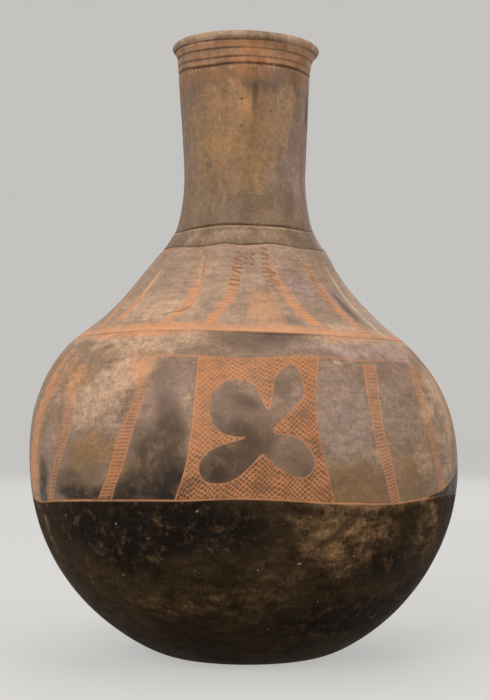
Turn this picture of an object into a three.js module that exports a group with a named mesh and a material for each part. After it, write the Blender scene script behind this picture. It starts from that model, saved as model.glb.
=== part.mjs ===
// Engraved pottery bottle, hand-built without a wheel.
//
// A round body on a small flat foot carries a steep shoulder, a tall narrow neck and a
// rolled lip. The potter raised the vessel in sections: a base disc, broad wall sections
// and a rim coil. Each section is bevelled and luted to the next with slip, so every
// joint is a scarf through the wall, and the thin slip layer is left as a gap.
// The engraved rings on the outside run along those joints.
//
// Millimetres, +Z up, origin at the middle of the foot, front of the vessel towards -Y.

import * as THREE from 'three';

// Driving dimensions
const globeRadius = 97.8;         // widest radius of the body
const globeWaist = 87.5;          // height of the widest circle
const bowlDepth = 94.7;           // half height of the ellipse below the widest circle
const shoulderRise = 82.2;        // half height of the curve above it
const shoulderFullness = 2.35;    // exponent of that curve, 2 being an ellipse
const footRadius = 32;            // flat that the vessel stands on
const footTop = 6;                // height where the rounding of the foot ends
const footControlRadius = 39.3;   // where the body's tangent reaches the ground
const floorHeight = 9;            // top of the clay floor inside
const floorFlatRadius = 26;       // flat middle of that floor
const slipGap = 0.4;              // slip layer between two sections, along the wall
const ringDepth = 0.9;            // depth of the engraved rings at the joints
const ringHalfWidth = 0.8;        // half width of an engraved ring
const rimRingDepth = 0.7;         // depth of the fine rings under the lip
const rimRingHalfWidth = 0.7;
const lipHalfWidth = 3;           // the lip is a flattened round in section
const lipHalfHeight = 2.2;
const lipCentreRadius = 30.6;     // middle of the lip's section, from the axis
const lipCentreHeight = 277.2;
const lipStartAngle = -40;        // degrees below level where the lip leaves the neck
const facets = 48;                // sides of every round section

// Heights of the joints, and how far each scarf climbs towards the inside
const baseJoint = footTop;
const bowlJoint = 77;
const bellyJoint = 134.5;
const bandJoint = 144.6;
const coneJoint = 185.4;
const collarJoint = 194.2;
const neckJoint = 265.4;
const broadLap = 7;
const narrowLap = 3;

// Fine rings engraved under the lip, above the neck joint
const rimRings = [268.3, 271.9];

// Height and radius of the shoulder and the neck, from the ledge to the lip
const neckStations = [
  [144.6, 73.9],
  [152.3, 64.4],
  [162.4, 54.1],
  [173.5, 45.3],
  [182.8, 38.9],
  [188.3, 34.8],
  [196.6, 30.6],
  [213.2, 28.0],
  [227.1, 28.1],
  [259.4, 29.8],
  [270.4, 30.6],
  [273.5, 31.4],
  [275.8, 32.9],
];

// Height and wall thickness
const wallStations = [
  [0, 9],
  [30, 7.5],
  [90, 6],
  [140, 6],
  [180, 5.5],
  [265, 5],
  [280, 5],
];

// Height and sideways drift of the middle line, because the vessel was raised by eye
const swayStations = [
  [0, 1.5],
  [33, 0.4],
  [87, 0],
  [120, -1.3],
  [145, -2.9],
  [155, -2.1],
  [174, -1.6],
  [185, -0.1],
  [230, 0.5],
  [268, 0.3],
  [280, 1.3],
];

// The mouth is not quite level: it drops to the right
const mouthTilt = THREE.MathUtils.degToRad(1.4);
const tiltStart = 250;
const tiltFull = 275;

// A smooth curve through stations of height and value
function through(stations, height) {
  const last = stations.length - 1;
  const clamped = THREE.MathUtils.clamp(height, stations[0][0], stations[last][0]);
  let i = 0;
  while (i < last - 1 && clamped > stations[i + 1][0]) i += 1;
  const before = stations[Math.max(i - 1, 0)];
  const [lowHeight, lowValue] = stations[i];
  const [highHeight, highValue] = stations[i + 1];
  const after = stations[Math.min(i + 2, last)];
  const span = highHeight - lowHeight;
  const lowSlope = (highValue - before[1]) / (highHeight - before[0]);
  const highSlope = (after[1] - lowValue) / (after[0] - lowHeight);
  const t = (clamped - lowHeight) / span;
  const t2 = t * t;
  const t3 = t2 * t;
  return (2 * t3 - 3 * t2 + 1) * lowValue
    + (t3 - 2 * t2 + t) * span * lowSlope
    + (3 * t2 - 2 * t3) * highValue
    + (t3 - t2) * span * highSlope;
}

// Outer radius of the vessel at a height
function outerRadius(height) {
  if (height > bandJoint) return through(neckStations, height);
  const rise = height - globeWaist;
  const share = rise < 0
    ? (-rise / bowlDepth) ** 2
    : (rise / shoulderRise) ** shoulderFullness;
  return globeRadius * Math.sqrt(1 - share);
}

// Unit direction along the wall, upwards, as a radius and height pair
function alongWall(height) {
  const step = 0.5;
  const run = new THREE.Vector2(outerRadius(height + step) - outerRadius(height - step), 2 * step);
  return run.normalize();
}

// Point on the outside, sunk into the wall by a depth
function outside(height, depth = 0) {
  const along = alongWall(height);
  return new THREE.Vector2(
    outerRadius(height) - along.y * depth,
    height + along.x * depth,
  );
}

// Point on the inside of the wall
function inside(height) {
  return outside(height, through(wallStations, height));
}

// Height reached after a short way along the wall
function shifted(height, distance) {
  return height + alongWall(height).y * distance;
}

// Outside points from one joint to the next, with a half ring cut at either end
function outerRun(low, high, steps, cuts) {
  const start = cuts.low ? shifted(low, ringHalfWidth) : low;
  const end = cuts.high ? shifted(high, -ringHalfWidth) : high;
  const points = [];
  if (cuts.low) points.push(outside(low, ringDepth));
  for (let i = 0; i <= steps; i += 1) {
    points.push(outside(start + ((end - start) * i) / steps));
  }
  if (cuts.high) points.push(outside(high, ringDepth));
  return points;
}

// Inside points from the top joint back down to the lower one
function innerRun(low, high, steps) {
  const points = [];
  for (let i = 0; i <= steps; i += 1) {
    points.push(inside(high + ((low - high) * i) / steps));
  }
  return points;
}

// A wall section between two scarf joints
function wallSection({ low, high, lowLap, highLap, steps, cuts }) {
  const start = shifted(low, slipGap);
  const outer = outerRun(start, high, steps, cuts);
  const inner = innerRun(shifted(low + lowLap, slipGap), high + highLap, steps);
  return [...outer, ...inner, outer[0].clone()];
}

// The base disc: flat foot, rounded edge, scarf edge and the floor inside
function baseDiscOutline() {
  const edge = new THREE.QuadraticBezierCurve(
    new THREE.Vector2(footRadius, 0),
    new THREE.Vector2(footControlRadius, 0),
    outside(baseJoint),
  );
  return [
    new THREE.Vector2(0, 0),
    ...edge.getPoints(4),
    inside(baseJoint),
    new THREE.Vector2(floorFlatRadius, floorHeight),
    new THREE.Vector2(0, floorHeight),
  ];
}

// The rim coil: fine rings on the outside, then the rolled lip and the mouth
function rimCoilOutline() {
  const start = shifted(neckJoint, slipGap);
  const points = [outside(start, ringDepth), outside(shifted(start, ringHalfWidth))];
  for (const ring of rimRings) {
    points.push(outside(ring - rimRingHalfWidth));
    points.push(outside(ring, rimRingDepth));
    points.push(outside(ring + rimRingHalfWidth));
  }
  const lipSteps = 10;
  for (let i = 0; i <= lipSteps; i += 1) {
    const degrees = lipStartAngle + ((180 - lipStartAngle) * i) / lipSteps;
    const angle = THREE.MathUtils.degToRad(degrees);
    points.push(new THREE.Vector2(
      lipCentreRadius + lipHalfWidth * Math.cos(angle),
      lipCentreHeight + lipHalfHeight * Math.sin(angle),
    ));
  }
  points.push(inside(shifted(neckJoint + narrowLap, slipGap)));
  points.push(points[0].clone());
  return points;
}

// Turn an outline round the axis, then lean it as the hand-raised vessel leans
function turned(outline) {
  const geometry = new THREE.LatheGeometry(outline, facets);
  geometry.rotateX(Math.PI / 2);
  const position = geometry.getAttribute('position');
  for (let i = 0; i < position.count; i += 1) {
    const x = position.getX(i);
    const z = position.getZ(i);
    const tiltShare = THREE.MathUtils.smoothstep(z, tiltStart, tiltFull);
    position.setX(i, x + through(swayStations, z));
    position.setZ(i, z - x * Math.tan(mouthTilt) * tiltShare);
  }
  geometry.computeVertexNormals();
  return geometry;
}

// Burnished, smoke-darkened earthenware, a little different on each section
function earthenware(color) {
  return new THREE.MeshStandardMaterial({ color, roughness: 0.5, metalness: 0 });
}

const sections = [
  {
    name: 'base_disc',
    color: 0x37302a,
    outline: baseDiscOutline(),
  },
  {
    name: 'lower_bowl',
    color: 0x4a4136,
    outline: wallSection({
      low: baseJoint,
      high: bowlJoint,
      lowLap: 0,
      highLap: broadLap,
      steps: 9,
      cuts: { low: false, high: true },
    }),
  },
  {
    name: 'belly_wall',
    color: 0x57483c,
    outline: wallSection({
      low: bowlJoint,
      high: bellyJoint,
      lowLap: broadLap,
      highLap: narrowLap,
      steps: 8,
      cuts: { low: true, high: true },
    }),
  },
  {
    name: 'shoulder_band',
    color: 0x4b4038,
    outline: wallSection({
      low: bellyJoint,
      high: bandJoint,
      lowLap: narrowLap,
      highLap: narrowLap,
      steps: 2,
      cuts: { low: true, high: true },
    }),
  },
  {
    name: 'shoulder_cone',
    color: 0x6b5b4c,
    outline: wallSection({
      low: bandJoint,
      high: coneJoint,
      lowLap: narrowLap,
      highLap: narrowLap,
      steps: 7,
      cuts: { low: false, high: true },
    }),
  },
  {
    name: 'neck_collar',
    color: 0x6d5948,
    outline: wallSection({
      low: coneJoint,
      high: collarJoint,
      lowLap: narrowLap,
      highLap: narrowLap,
      steps: 2,
      cuts: { low: true, high: true },
    }),
  },
  {
    name: 'neck_tube',
    color: 0x705f4d,
    outline: wallSection({
      low: collarJoint,
      high: neckJoint,
      lowLap: narrowLap,
      highLap: narrowLap,
      steps: 7,
      cuts: { low: true, high: true },
    }),
  },
  {
    name: 'rim_coil',
    color: 0x7a6650,
    outline: rimCoilOutline(),
  },
];

const bottle = new THREE.Group();
for (const { name, color, outline } of sections) {
  const section = new THREE.Mesh(turned(outline), earthenware(color));
  section.name = name;
  bottle.add(section);
}

export default bottle;
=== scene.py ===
# Engraved pottery bottle: the burnished, smoke-clouded surface with its engraving,
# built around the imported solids. Lengths are in millimetres until a mesh is made, and
# azimuths are in degrees from the front, positive to the right.

import math

import bpy
import numpy as np
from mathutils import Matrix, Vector


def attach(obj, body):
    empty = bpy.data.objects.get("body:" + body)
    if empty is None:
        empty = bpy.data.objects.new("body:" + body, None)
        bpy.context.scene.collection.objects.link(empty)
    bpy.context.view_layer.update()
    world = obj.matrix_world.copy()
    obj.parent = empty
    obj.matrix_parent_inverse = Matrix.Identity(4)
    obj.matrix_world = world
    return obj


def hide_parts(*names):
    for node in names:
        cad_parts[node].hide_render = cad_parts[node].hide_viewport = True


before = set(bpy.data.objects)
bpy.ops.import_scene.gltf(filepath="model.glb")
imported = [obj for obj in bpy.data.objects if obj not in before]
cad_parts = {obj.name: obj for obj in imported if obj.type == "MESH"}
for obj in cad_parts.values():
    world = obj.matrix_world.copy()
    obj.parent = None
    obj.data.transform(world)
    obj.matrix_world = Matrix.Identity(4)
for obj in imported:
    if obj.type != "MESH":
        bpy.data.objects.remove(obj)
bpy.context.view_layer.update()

MM = 0.001

# The body, the foot, the shoulder and the neck, as the solids have them
GLOBE_RADIUS = 97.8
GLOBE_WAIST = 87.5
BOWL_DEPTH = 94.7
SHOULDER_RISE = 82.2
SHOULDER_FULLNESS = 2.35
FOOT_RADIUS = 32
FOOT_TOP = 6
FOOT_CONTROL_RADIUS = 39.3
FLOOR_HEIGHT = 9
FLOOR_FLAT_RADIUS = 26
LIP_HALF_WIDTH = 3
LIP_HALF_HEIGHT = 2.2
LIP_CENTRE_RADIUS = 30.6
LIP_CENTRE_HEIGHT = 277.2
LIP_START_ANGLE = -40

# Heights of the joints between the sections
BASE_JOINT = FOOT_TOP
BOWL_JOINT = 77
BELLY_JOINT = 134.5
BAND_JOINT = 144.6
CONE_JOINT = 185.4
COLLAR_JOINT = 194.2
NECK_JOINT = 265.4
BROAD_LAP = 7
NARROW_LAP = 3
SLIP_GAP = 0.08

# Stations of height and value, as the solids have them
NECK_STATIONS = [
    (144.6, 73.9), (152.3, 64.4), (162.4, 54.1), (173.5, 45.3), (182.8, 38.9), (188.3, 34.8),
    (196.6, 30.6), (213.2, 28.0), (227.1, 28.1), (259.4, 29.8), (270.4, 30.6), (273.5, 31.4),
    (275.8, 32.9),
]
WALL_STATIONS = [(0, 9), (30, 7.5), (90, 6), (140, 6), (180, 5.5), (265, 5), (280, 5)]
SWAY_STATIONS = [
    (0, 1.5), (33, 0.4), (87, 0), (120, -1.3), (145, -2.9), (155, -2.1), (174, -1.6),
    (185, -0.1), (230, 0.5), (268, 0.3), (280, 1.3),
]
MOUTH_TILT = math.radians(1.4)
TILT_START = 250
TILT_FULL = 275

# The engraved layout is drawn twice round the vessel
TURNS = (0, 180)

# How far each drawn line strays from level: azimuth and offset, for the front of the vessel
LOWER_LINE = [
    (-67, -5.0), (-54, -3.4), (-34, -1.7), (-15, -0.8), (0, 0.2), (13, -1.0), (24, -2.3),
    (38, -3.3), (50, -2.5), (62, -2.2), (90, -3.8),
]
PANEL_TOP_LINE = [
    (-71, 2.2), (-45, 1.2), (-17, 0.2), (0, -1.4), (7, -1.4), (15, -0.5), (27, -0.5),
    (35, -1.8), (53, -1.0), (80, 0),
]
LEDGE_LINE = [
    (-60, 0.2), (-48, 0.5), (-19, 0.8), (0, 0.2), (20, -0.7), (35, -1.4), (54, -2.0), (68, -2.2),
    (120, -1.0), (180, 0.3),
]
COLLAR_LOW_LINE = [
    (-59, -0.4), (-30, -1.4), (-19, -0.8), (-12, -0.2), (-2, -1.0), (11, -0.7), (18, -0.3),
    (29, -1.0), (41, -1.9), (180, -1.0),
]
COLLAR_HIGH_LINE = [
    (-62, -1.7), (-37, -0.8), (-19, -0.2), (0, -0.4), (30, -0.8), (50, -1.3), (65, -1.7),
    (180, -1.0),
]
RIM_LINE = [(-75, 0.1), (-35, -1.0), (3, -0.2), (80, -0.6), (180, 0)]
LEVEL = [(0, 0)]

# The small unevenness of every drawn line: size, first seed and scale of its waves
STRAY_SIZE = 0.22
STRAY_SEED = 300
STRAY_SCALE = 26


def twice(stations):
    """The front's stations, and the same again half a turn on."""
    return [(azimuth + turn, value) for turn in TURNS for azimuth, value in stations]


STRAYED_LINES = [
    (FOOT_TOP, LEVEL),
    (BOWL_JOINT, twice(LOWER_LINE)),
    (BELLY_JOINT, twice(PANEL_TOP_LINE)),
    (BAND_JOINT, LEDGE_LINE),
    (CONE_JOINT, COLLAR_LOW_LINE),
    (COLLAR_JOINT, COLLAR_HIGH_LINE),
    (NECK_JOINT, RIM_LINE),
    (NECK_STATIONS[-1][0], LEVEL),
]


def through(stations, places):
    """A smooth curve through stations of place and value."""
    at = np.array([station[0] for station in stations], float)
    value = np.array([station[1] for station in stations], float)
    slope = np.gradient(value, at)
    slope[1:-1] = (value[2:] - value[:-2]) / (at[2:] - at[:-2])
    places = np.clip(np.asarray(places, float), at[0], at[-1])
    i = np.clip(np.searchsorted(at, places, side="right") - 1, 0, len(at) - 2)
    span = at[i + 1] - at[i]
    t = (places - at[i]) / span
    return (
        (2 * t**3 - 3 * t**2 + 1) * value[i]
        + (t**3 - 2 * t**2 + t) * span * slope[i]
        + (3 * t**2 - 2 * t**3) * value[i + 1]
        + (t**3 - t**2) * span * slope[i + 1]
    )


def round_vessel(stations, azimuths):
    """The same curve closed round the vessel, through stations of azimuth and value."""
    copies = [(azimuth + turn, value) for azimuth, value in stations for turn in (-360, 0, 360)]
    return through(sorted(copies), azimuths)


def smooth(low, high, x):
    """Rises smoothly from 0 at low to 1 at high."""
    t = np.clip((x - low) / (high - low), 0, 1)
    return t * t * (3 - 2 * t)


def waves(azimuth, height, seed, scale, count=7):
    """Soft unevenness between -1 and 1, from a few waves that close round the vessel."""
    rng = np.random.default_rng(seed)
    total = np.zeros(np.broadcast(azimuth, height).shape)
    turns = max(1, round(2 * math.pi * GLOBE_RADIUS / scale))
    for _ in range(count):
        around = rng.integers(1, turns + 1)
        upward = rng.uniform(-1, 1) * 2 * math.pi / scale
        phase = rng.uniform(0, 2 * math.pi)
        total = total + np.sin(around * azimuth + upward * height + phase)
    return total / count


def unevenness(sizes, azimuth, height):
    """Soft unevenness in all, from the size, seed and scale of each set of waves."""
    return sum(size * waves(azimuth, height, seed, scale) for size, seed, scale in sizes)


def outer_radius(heights):
    """Outer radius of the vessel at each height."""
    heights = np.asarray(heights, float)
    rise = heights - GLOBE_WAIST
    below = np.clip(-rise / BOWL_DEPTH, 0, 1) ** 2
    above = np.clip(rise / SHOULDER_RISE, 0, 0.99) ** SHOULDER_FULLNESS
    globe = GLOBE_RADIUS * np.sqrt(1 - below - above)
    return np.where(heights > BAND_JOINT, through(NECK_STATIONS, heights), globe)


def angle_of(width, height):
    """Angle in degrees that a width takes up round the outside at a height."""
    return math.degrees(width / float(outer_radius(height)))


def wall_rows(heights, depth=0.0):
    """Radius, height and outward direction of the wall at each height, sunk by a depth."""
    heights = np.asarray(heights, float)
    run = outer_radius(heights + 0.5) - outer_radius(heights - 0.5)
    length = np.hypot(run, 1)
    out_r = 1 / length
    out_z = -run / length
    rows = [outer_radius(heights) - out_r * depth, heights - out_z * depth, out_r, out_z]
    return np.stack(np.broadcast_arrays(*rows), axis=-1)


# Length along the outside from the foot up to each height
TABLE_HEIGHTS = np.arange(FOOT_TOP, LIP_CENTRE_HEIGHT, 0.5)
TABLE_RUNS = np.concatenate([[0], np.cumsum(np.hypot(np.diff(outer_radius(TABLE_HEIGHTS)), 0.5))])


def outside_run(heights):
    """Length along the outside up to each height."""
    return np.interp(heights, TABLE_HEIGHTS, TABLE_RUNS)


def shifted(height, distance):
    """Height reached after a short way along the wall."""
    return float(height + wall_rows([height])[0, 2] * distance)


def strayed(heights, azimuths):
    """Heights on a grid, moved as the drawn lines stray from level."""
    heights = np.asarray(heights, float)
    line_heights = np.array([height for height, _ in STRAYED_LINES], float)
    offsets = np.stack([round_vessel(path, np.degrees(azimuths)) for _, path in STRAYED_LINES])
    for i, offset in enumerate(offsets[1:-1]):
        offset += STRAY_SIZE * waves(azimuths, 0, STRAY_SEED + i, STRAY_SCALE)
    at = np.clip(heights, line_heights[0], line_heights[-1])
    i = np.clip(np.searchsorted(line_heights, at, side="right") - 1, 0, len(line_heights) - 2)
    t = ((at - line_heights[i]) / (line_heights[i + 1] - line_heights[i]))[:, None]
    return heights[:, None] + (1 - t) * offsets[i] + t * offsets[i + 1]


def lean(x, y, z):
    """Leans a point as the hand-raised vessel leans, its mouth dropping to the right."""
    share = smooth(TILT_START, TILT_FULL, z)
    return x + through(SWAY_STATIONS, z), y, z - x * math.tan(MOUTH_TILT) * share


def turned(grid, azimuths, sunk):
    """Points of a grid of wall rows at each azimuth, in radians, sunk into the wall."""
    radius = grid[..., 0] - grid[..., 2] * sunk
    height = grid[..., 1] - grid[..., 3] * sunk
    return np.stack(lean(radius * np.sin(azimuths), -radius * np.cos(azimuths), height), axis=-1)


# The engraving: a pointed tool drawn through the leather-hard clay
LINE_WIDTH = 0.62
LINE_DEPTH = 0.38
LINE_REACH = 2.0

# Where a cut's flank begins and ends, as shares of its width
FLANK_TOP = 0.15
FLANK_FOOT = 0.75

# The crossed lines of a panel: name, slope and pitch, then how far they bend, how unevenly
# they are spaced, and their depth
HATCHES = (("net_rising", -47, 1.42), ("net_falling", 39, 1.75))
HATCH_BEND = 1.1
HATCH_SCATTER = 0.13
HATCH_DEPTH = 0.14

# The rungs of the ladder bands
RUNG_PITCH = 1.45
RUNG_WIDTH = 0.6
RUNG_DEPTH = 0.2

# How far a cloud reaches and where its edge fades, as shares of its half width; the size
# from which its edge wanders freely, and the size, seed and scale of that wandering
CLOUD_REACH = 1.6
CLOUD_EDGE = (0.3, 1.35)
LOOSE_SIZE = 7
DRIFT_WAVES = (((6, 501, 34), (2.6, 502, 11)), ((6, 503, 34), (2.6, 504, 11)))

# What the surface carries besides its shape, as shares from 0 to 1: bare orange clay,
# orange haze, darkened cuts, rustier clay, chalky dust that also carries a painted highlight,
# and the clouds of the firing, some of whose smoke and soot is painted shade
CLOUD_KINDS = ("tan", "olive", "grey", "pale", "mauve", "orange", "smoke", "soot", "worn")
SHARES = ("bare", "haze", "shade", "rust", "chalk", "net", "net_rising", "net_falling") + CLOUD_KINDS


class Outside:
    """The outside of one piece on a grid: the cuts in it, and the shares of its colours."""

    def __init__(self, azimuths, radius, height):
        self.azimuth = azimuths
        self.radius = radius
        self.height = height
        self.run = np.concatenate([[0], np.cumsum(np.hypot(np.diff(radius), np.diff(height)))])
        self.depth = np.zeros((len(height), len(azimuths)))
        self.shares = {name: np.zeros(self.depth.shape) for name in SHARES}
        self.drift = [unevenness(sizes, azimuths, height[:, None]) for sizes in DRIFT_WAVES]

    def along(self, height):
        """Place of a height along this piece's outside."""
        return np.interp(height, np.maximum.accumulate(self.height), self.run)

    def window(self, low_azimuth, high_azimuth, low, high):
        """Rows and columns whose points lie in a patch of the wall, and their azimuths."""
        rows = np.where((self.height >= low) & (self.height <= high))[0]
        middle = math.radians(low_azimuth + high_azimuth) / 2
        half = math.radians(high_azimuth - low_azimuth) / 2
        offset = (self.azimuth - middle + math.pi) % (2 * math.pi) - math.pi
        columns = np.where(np.abs(offset) <= half)[0]
        return np.ix_(rows, columns), rows, middle + offset[columns]

    def across(self, rows, azimuths, middle):
        """How far points lie to the right of an azimuth."""
        return self.radius[rows][:, None] * (azimuths - math.radians(middle))

    def deepen(self, patch, depth, cut, shares):
        """Cuts a patch to a depth and raises its shares, each as far as the cut goes."""
        self.depth[patch] = np.maximum(self.depth[patch], depth * cut)
        for name, share in shares.items():
            self.shares[name][patch] = np.maximum(self.shares[name][patch], share * cut)

    def line(self, points, width=LINE_WIDTH, depth=LINE_DEPTH, fade=None, **shares):
        """Cuts a stroke through points of azimuth and height."""
        reach = max(LINE_REACH, width)
        for (a0, h0), (a1, h1) in zip(points, points[1:]):
            margin = angle_of(reach, min(h0, h1))
            patch, rows, azimuths = self.window(
                min(a0, a1) - margin, max(a0, a1) + margin, min(h0, h1) - reach, max(h0, h1) + reach)
            x = self.across(rows, azimuths, a0)
            y = self.run[rows][:, None] - self.along(h0)
            dx = self.radius[rows][:, None] * math.radians(a1 - a0)
            dy = self.along(h1) - self.along(h0)
            t = np.clip((x * dx + y * dy) / (dx * dx + dy * dy + 1e-9), 0, 1)
            cut = 1 - smooth(FLANK_TOP * width, FLANK_FOOT * width, np.hypot(x - t * dx, y - t * dy))
            if fade:
                cut = cut * through(fade, (h0 + h1) / 2)
            self.deepen(patch, depth, cut, shares)

    def stroke(self, path, turn, *settings, **shares):
        """Cuts a smooth stroke through a few points, moved round the vessel."""
        self.line(turned_by(smooth_path(path), turn), *settings, **shares)

    def pit(self, azimuth, height, size, depth, **shares):
        """A round dent: a stroke without length."""
        self.line([(azimuth, height)] * 2, size / FLANK_FOOT, depth, **shares)

    def ring(self, height, half_width, depth, strength=None, seed=0, **shares):
        """Cuts a ring round the vessel, pressed harder at some azimuths than at others."""
        distance = np.abs(self.run - self.along(height))[:, None]
        cut = 1 - smooth(0.1 * half_width, half_width, distance)
        pressure = 0.85 + unevenness(((0.3, seed, 45), (0.3, seed + 200, 8)), self.azimuth, 0)
        if strength:
            pressure = pressure * np.clip(round_vessel(strength, np.degrees(self.azimuth)), 0, 1)
        self.deepen(slice(None), depth, cut * np.clip(pressure, 0, 1), shares)

    def fill(self, left, right, turn, soft, fade=None, **shares):
        """Raises shares between two sides, with soft edges."""
        low = max(left[0][1], right[0][1])
        high = min(left[-1][1], right[-1][1])
        ends = [azimuth + turn for azimuth, _ in left + right]
        patch, rows, azimuths = self.window(min(ends) - 5, max(ends) + 5, low, high)
        height = self.height[rows][:, None]
        local = np.degrees(azimuths) - turn
        inward = np.minimum(local - side_azimuth(left, height), side_azimuth(right, height) - local)
        share = smooth(-soft, soft, np.radians(inward) * self.radius[rows][:, None])
        if fade:
            share = share * np.clip(through(fade, height), 0, 1)
        self.deepen(patch, 0, share, shares)

    def cloud(self, kind, azimuth, height, across, tall, strength, slant=0):
        """A soft patch of one kind of colour, from its half width and half height."""
        reach = CLOUD_REACH * max(across, tall)
        margin = min(angle_of(reach, height), 179)
        patch, rows, azimuths = self.window(
            azimuth - margin, azimuth + margin, height - reach, height + reach)
        loose = min(1.0, min(across, tall) / LOOSE_SIZE)
        x = self.across(rows, azimuths, azimuth) + loose * self.drift[0][patch]
        y = (outside_run(self.height[rows]) - outside_run(height))[:, None] + loose * self.drift[1][patch]
        turn = math.radians(slant)
        u = (x * math.cos(turn) + y * math.sin(turn)) / across
        v = (y * math.cos(turn) - x * math.sin(turn)) / tall
        share = strength * (1 - smooth(*CLOUD_EDGE, np.hypot(u, v)))
        field = self.shares[kind]
        field[patch] = 1 - (1 - field[patch]) * (1 - share)


def side_azimuth(side, height):
    """Azimuth at a height of a band's side, given as points of azimuth and height."""
    azimuths, heights = zip(*side)
    return np.interp(height, heights, azimuths)


def smooth_path(points, closed=False, steps=6):
    """A smooth run through a few points, for strokes that bend."""
    points = np.array(points, float)
    before, after = (points[-1:], points[:2]) if closed else (points[:1], points[-1:])
    points = np.concatenate([before, points, after])
    run = []
    for p0, p1, p2, p3 in zip(points, points[1:], points[2:], points[3:]):
        for t in np.arange(steps) / steps:
            run.append(tuple(0.5 * (
                2 * p1 + (p2 - p0) * t + (2 * p0 - 5 * p1 + 4 * p2 - p3) * t**2
                + (3 * p1 - p0 - 3 * p2 + p3) * t**3
            )))
    return run + [tuple(points[-2])]


def turned_by(points, turn):
    """Points of azimuth and height, moved round the vessel."""
    return [(azimuth + turn, height) for azimuth, height in points]


def rails(centre, half_width):
    """The two sides of a band, from its middle line and its half width."""
    return [
        [(azimuth + sign * angle_of(half_width, height), height) for azimuth, height in centre]
        for sign in (-1, 1)
    ]


# Slant and fade by height, for bands whose rungs are level and that don't fade
STRAIGHT = ((0, 0), (300, 0))
WHOLE = ((0, 1), (300, 1))


def ladder(wall, left, right, turn, seed,
           bare=0.85, haze=0.5, rust=0.8, slant=STRAIGHT, fade=WHOLE, dark=0.0):
    """A ladder band: two long strokes with short rungs close together between them."""
    rng = np.random.default_rng(seed)
    for side in (left, right):
        wall.stroke(side, turn, 0.56, 0.25, fade, bare=bare)
    wall.fill(left, right, turn, 0.7, fade, haze=haze, rust=rust)
    height = max(left[0][1], right[0][1]) + RUNG_PITCH
    while height < min(left[-1][1], right[-1][1]):
        share = float(np.clip(through(fade, height), 0, 1))
        start, end = (float(side_azimuth(smooth_path(side), height)) + turn for side in (left, right))
        drop = rng.uniform(-0.2, 0.2) + float(through(slant, height)) / 2
        wall.line(
            [(start, height - drop), (end, height + drop)], RUNG_WIDTH * (1 - dark), RUNG_DEPTH * share,
            bare=bare * share, shade=dark * share, rust=3 * dark * share)
        height += RUNG_PITCH * rng.uniform(0.85, 1.15)


# The central panel: its slanted sides, and the outline of the plain four-lobed motif
PANEL_LEFT = [
    (-16.5, 77), (-14.2, 86.8), (-12.6, 97.3), (-11.7, 108.3), (-11.2, 120.5), (-10.8, 134.5),
]
PANEL_RIGHT = [(22.1, 77), (20.4, 87.7), (18.8, 98), (18.3, 108.9), (19.3, 120.9), (22.9, 134.5)]
MOTIF = [
    (6.3, 114.3), (5.2, 118.2), (3.7, 123.7), (-0.4, 126.2), (-3.9, 124.8), (-7.1, 119.3),
    (-7.8, 113.2), (-7.0, 107.6), (-4.7, 103.7), (-1.9, 102.2), (0.4, 101.8), (-4.8, 99.0),
    (-8.5, 95.9), (-10.4, 91.2), (-10.2, 86.8), (-8.7, 83.9), (-5.9, 83.1), (-3.1, 83.9),
    (-0.2, 87.1), (2.1, 91.0), (4.5, 95.2), (5.6, 93.7), (8.3, 90.0), (11.1, 87.1),
    (14.0, 86.2), (16.1, 88.4), (17.2, 92.7), (16.4, 97.0), (14.5, 100.7), (11.6, 103.1),
    (7.4, 104.6), (10.5, 110.4), (13.8, 115.1), (16.0, 118.8), (16.4, 124.3), (16.0, 129.5),
    (14.6, 131.5), (12.4, 130.9), (9.7, 127.4), (8.4, 123.6), (7.1, 115.0),
]


def inside_outline(outline, azimuth, height):
    """True where a point lies inside a closed outline."""
    inside = np.zeros(np.broadcast(azimuth, height).shape, bool)
    for (a0, h0), (a1, h1) in zip(outline, outline[1:] + outline[:1]):
        crosses = (h0 > height) != (h1 > height)
        at = a0 + (a1 - a0) * (height - h0) / (h1 - h0 if h1 != h0 else 1e-9)
        inside ^= crosses & (azimuth < at)
    return inside


def hatch_panel(wall, turn, seed):
    """Cross-hatches one panel, leaving the four-lobed motif plain, and outlines both."""
    motif = smooth_path(MOTIF, closed=True, steps=4)
    wall.stroke(PANEL_LEFT, turn, 0.62, 0.25, bare=1.0)
    wall.stroke(PANEL_RIGHT, turn, 0.55, 0.25, bare=0.6, rust=0.5)
    wall.line(turned_by(motif, turn), 0.5, 0.25, bare=0.75)

    patch, rows, azimuths = wall.window(turn - 20, turn + 28, BOWL_JOINT - 1, BELLY_JOINT + 1)
    local = np.degrees(azimuths)[None, :] - turn
    height = wall.height[rows][:, None]
    left, right = (side_azimuth(side, height) for side in (PANEL_LEFT, PANEL_RIGHT))
    within = (local > left) & (local < right) & ~inside_outline(motif, local, height)

    across = wall.across(rows, azimuths, turn)
    up = wall.run[rows][:, None]
    cut = 0
    for order, (name, slope, pitch) in enumerate(HATCHES):
        angle = math.radians(slope)
        sideways = HATCH_BEND * waves(np.radians(local) * 6, height, seed + order, 30)
        along = (across * math.sin(angle) + up * math.cos(angle) + sideways) / pitch
        lines = np.arange(math.floor(along.min()) - 1, math.ceil(along.max()) + 2)
        scatter = HATCH_SCATTER * np.sin(lines * 12.9898 + seed * 3.1)
        count = along + np.interp(along, lines, scatter)
        wall.shares[name][patch] = np.where(within, count, 0)
        cut = np.maximum(cut, 1 - smooth(0.08, 0.3, np.abs(count - np.floor(count) - 0.5)))
    fresh = smooth(-0.35, 0.75, (height - 96) / 34 - local / 50)
    wall.deepen(patch, HATCH_DEPTH * cut, within, {
        "net": 1.0,
        "haze": 0.66 + 0.2 * fresh + 0.4 * smooth(-2, -9, local) * fresh,
        "rust": np.maximum(0.72 + 0.28 * smooth(2, 18, local), 1 - fresh),
        "smoke": 0.85 - 0.4 * fresh,
    })


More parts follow.
